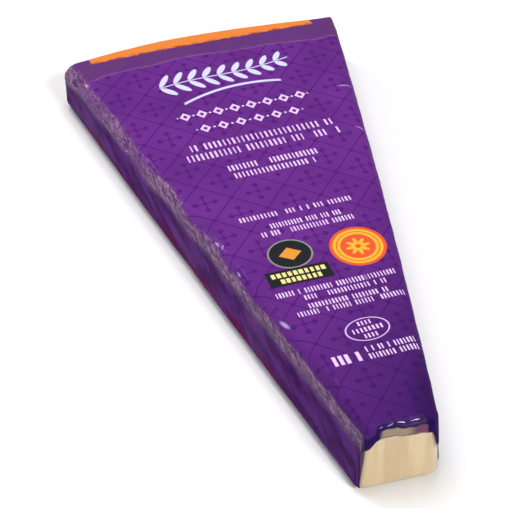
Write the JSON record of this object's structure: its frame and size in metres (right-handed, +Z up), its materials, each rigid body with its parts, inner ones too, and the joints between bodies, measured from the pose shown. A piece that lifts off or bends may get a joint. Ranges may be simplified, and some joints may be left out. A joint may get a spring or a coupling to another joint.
{
  "type": "shrink-wrapped cheese wedge",
  "caption": "Long wedge of hard cheese, thicker at its narrow tip, shrink-wrapped in printed film with a clear window over the tip.",
  "frame": {"origin": "middle of the bounding box's bottom face, on the flat underside that the wedge rests on", "axes": "+Y from the narrow tip to the rind end, +Z up, +X to the right when looking from the tip to the rind"},
  "size_m": [0.0872, 0.1774, 0.0249],
  "materials": {
    "cheese": "smooth cut hard cheese, cream",
    "printed_film": "shrunk purple printed film, glossy, with fine wrinkles along the edges",
    "clear_film": "clear glossy film"
  },
  "bodies": {
    "root": {"cheese": "cheese", "printed_film": "printed_film", "clear_film": "clear_film"}
  },
  "joints": []
}
